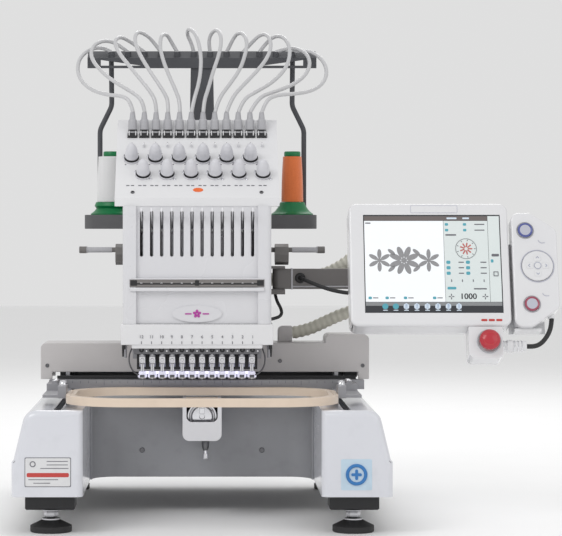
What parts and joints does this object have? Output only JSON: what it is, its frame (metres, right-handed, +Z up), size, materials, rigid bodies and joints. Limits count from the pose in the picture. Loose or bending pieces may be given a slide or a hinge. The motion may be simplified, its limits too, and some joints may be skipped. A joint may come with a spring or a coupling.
{
  "type": "embroidery machine",
  "caption": "Free-standing single-head embroidery machine with a sliding needle case, a hooped frame on a sideways and front-to-back drive, a thread tree, and a swinging touch panel.",
  "frame": {"origin": "middle of the footprint at floor level, cables left out", "axes": "+X to the operator's right, +Y away from the operator, +Z up"},
  "size_m": [0.8, 0.655, 0.753],
  "materials": {
    "white_paint": "moulded white with a soft gloss",
    "black_steel": "satin black",
    "grey_paint": "mid grey powder coat",
    "chrome": "bright",
    "bright_steel": "ground",
    "cast_iron": "as cast",
    "black_rubber": "satin",
    "tree_grey": "dark grey powder coat",
    "tray_plastic": "textured",
    "tube_plastic": "milky tube",
    "conduit_plastic": "ribbed cream grey",
    "beam_paint": "light grey",
    "bar_grey": "satin grey",
    "hoop_beige": "sealed beech",
    "foot_white": "white",
    "knob_white": "moulded pale grey",
    "panel_white": "moulded white",
    "screen_glass": "lit screen under a clear face",
    "stop_red": "moulded red",
    "thread_white": "wound thread on a green core",
    "thread_orange": "wound thread on a green core",
    "key_blue": "moulded",
    "key_red": "moulded",
    "key_grey": "moulded",
    "foot_rubber": "black"
  },
  "bodies": {
    "machine": {"left_leg_cover": "white_paint", "right_leg_cover": "white_paint", "leg_beams": "black_steel", "cross_panel": "grey_paint", "cross_box": "grey_paint", "hook_arm": "white_paint", "needle_plate": "chrome", "bobbin_case": "bright_steel", "hook_arm_ring": "chrome", "head_cover": "white_paint", "column_cover": "white_paint", "bearing_blocks": "cast_iron", "main_motor": "black_steel", "drive_belt": "black_rubber", "side_handles": "tree_grey", "panel_bracket": "tree_grey", "spool_tray": "tray_plastic", "spool_pins": "bright_steel", "tree_supports": "tree_grey", "tree_plate": "tree_grey", "thread_tubes": "tube_plastic", "frame_conduit": "conduit_plastic", "case_cable": "black_rubber"},
    "y_carriage": {"beam_cover": "beam_paint", "beam_frame": "bright_steel"},
    "x_carriage": {"frame_bar": "bar_grey", "hoop_arms": "chrome", "hoop_outer_ring": "hoop_beige", "hoop_inner_ring": "hoop_beige"},
    "needle_case": {"needle_case_frame": "bar_grey", "needle_case_cover": "white_paint", "number_visor": "white_paint", "parked_needle_bars": "bright_steel", "parked_presser_feet": "foot_white", "parked_take_up_levers": "chrome", "tension_box": "white_paint", "parked_tension_knobs": "knob_white", "tube_connectors": "knob_white"},
    "needle_bar_6": {"needle_bar_6": "bright_steel"},
    "presser_foot_6": {"presser_foot_6": "foot_white"},
    "take_up_lever_6": {"take_up_lever_6": "chrome"},
    "tension_knob_6": {"tension_knob_6": "knob_white"},
    "main_shaft": {"main_shaft": "bright_steel"},
    "rotary_hook": {"rotary_hook": "bright_steel"},
    "panel_arm": {"panel_arm": "bar_grey", "panel_cable": "black_rubber"},
    "control_panel": {"panel_housing": "panel_white", "panel_screen": "screen_glass", "pendant_cable": "black_rubber"},
    "emergency_stop": {"emergency_stop": "stop_red"},
    "pendant": {"pendant_housing": "panel_white"},
    "start_button": {"start_button": "key_blue"},
    "stop_button": {"stop_button": "key_red"},
    "jog_pad": {"jog_pad": "key_grey"},
    "left_thread_cone": {"left_thread_cone": "thread_white"},
    "right_thread_cone": {"right_thread_cone": "thread_orange"},
    "foot_front_left": {"foot_front_left": "foot_rubber"},
    "foot_front_right": {"foot_front_right": "foot_rubber"},
    "foot_rear_left": {"foot_rear_left": "foot_rubber"},
    "foot_rear_right": {"foot_rear_right": "foot_rubber"}
  },
  "joints": [
    {"name": "y_carriage", "type": "slide", "parent": "machine", "child": "y_carriage", "axis": [0, 1, 0], "range_m": [0, 0.165], "deforming": ["frame_conduit"]},
    {"name": "x_carriage", "type": "slide", "parent": "y_carriage", "child": "x_carriage", "axis": [1, 0, 0], "range_m": [-0.165, 0.165]},
    {"name": "needle_case", "type": "slide", "parent": "machine", "child": "needle_case", "axis": [1, 0, 0], "range_m": [-0.075, 0.09], "deforming": ["thread_tubes", "case_cable"]},
    {"name": "needle_bar_6", "type": "slide", "parent": "needle_case", "child": "needle_bar_6", "axis": [0, 0, 1], "range_m": [-0.034, 0]},
    {"name": "presser_foot_6", "type": "slide", "parent": "needle_case", "child": "presser_foot_6", "axis": [0, 0, 1], "range_m": [-0.026, 0]},
    {"name": "take_up_lever_6", "type": "hinge", "parent": "needle_case", "child": "take_up_lever_6", "pos_m": [-0.128, -0.1305, 0.436], "axis": [1, 0, 0], "range_deg": [0, 48]},
    {"name": "tension_knob_6", "type": "hinge", "parent": "needle_case", "child": "tension_knob_6", "pos_m": [-0.1265, -0.09733, 0.54178], "axis": [0, -0.676, 0.7369], "continuous": true},
    {"name": "main_shaft", "type": "hinge", "parent": "machine", "child": "main_shaft", "pos_m": [-0.128, 0.0875, 0.4], "axis": [0, 1, 0], "continuous": true},
    {"name": "rotary_hook", "type": "hinge", "parent": "machine", "child": "rotary_hook", "pos_m": [-0.128, 0.0875, 0.156], "axis": [0, 1, 0], "continuous": true},
    {"name": "panel_arm", "type": "hinge", "parent": "machine", "child": "panel_arm", "pos_m": [-0.01, -0.0525, 0.36], "axis": [0, 0, 1], "range_deg": [-25, 20]},
    {"name": "control_panel", "type": "hinge", "parent": "panel_arm", "child": "control_panel", "pos_m": [0.209, -0.12447, 0.34736], "axis": [1, 0, 0], "range_deg": [-20, 15], "deforming": ["panel_cable"]},
    {"name": "emergency_stop", "type": "slide", "parent": "control_panel", "child": "emergency_stop", "axis": [0, 0.9511, -0.309], "range_m": [0, 0.004], "stiffness_N_per_m": 600},
    {"name": "pendant", "type": "slide", "parent": "control_panel", "child": "pendant", "axis": [0, 0.309, 0.9511], "range_m": [0, 0.12], "deforming": ["pendant_cable"]},
    {"name": "start_button", "type": "slide", "parent": "pendant", "child": "start_button", "axis": [0, 0.9511, -0.309], "range_m": [0, 0.0016], "stiffness_N_per_m": 300},
    {"name": "stop_button", "type": "slide", "parent": "pendant", "child": "stop_button", "axis": [0, 0.9511, -0.309], "range_m": [0, 0.0016], "stiffness_N_per_m": 300},
    {"name": "jog_pad", "type": "slide", "parent": "pendant", "child": "jog_pad", "axis": [0, 0.9511, -0.309], "range_m": [0, 0.0016], "stiffness_N_per_m": 300},
    {"name": "left_thread_cone", "type": "slide", "parent": "machine", "child": "left_thread_cone", "axis": [0, 0, 1], "range_m": [0, 0.105]},
    {"name": "right_thread_cone", "type": "slide", "parent": "machine", "child": "right_thread_cone", "axis": [0, 0, 1], "range_m": [0, 0.105]},
    {"name": "foot_front_left", "type": "hinge", "parent": "machine", "child": "foot_front_left", "pos_m": [-0.346, -0.2625, 0], "axis": [0, 0, 1], "continuous": true},
    {"name": "foot_front_right", "type": "hinge", "parent": "machine", "child": "foot_front_right", "pos_m": [0.09, -0.2625, 0], "axis": [0, 0, 1], "continuous": true},
    {"name": "foot_rear_left", "type": "hinge", "parent": "machine", "child": "foot_rear_left", "pos_m": [-0.346, 0.2775, 0], "axis": [0, 0, 1], "continuous": true},
    {"name": "foot_rear_right", "type": "hinge", "parent": "machine", "child": "foot_rear_right", "pos_m": [0.09, 0.2775, 0], "axis": [0, 0, 1], "continuous": true}
  ],
  "couplings": [
    {"joint": "presser_foot_6", "follows": "needle_bar_6", "ratio": 0.7647},
    {"joint": "take_up_lever_6", "follows": "needle_bar_6", "rad_per_m": -24.6},
    {"joint": "rotary_hook", "follows": "main_shaft", "ratio": 2}
  ]
}
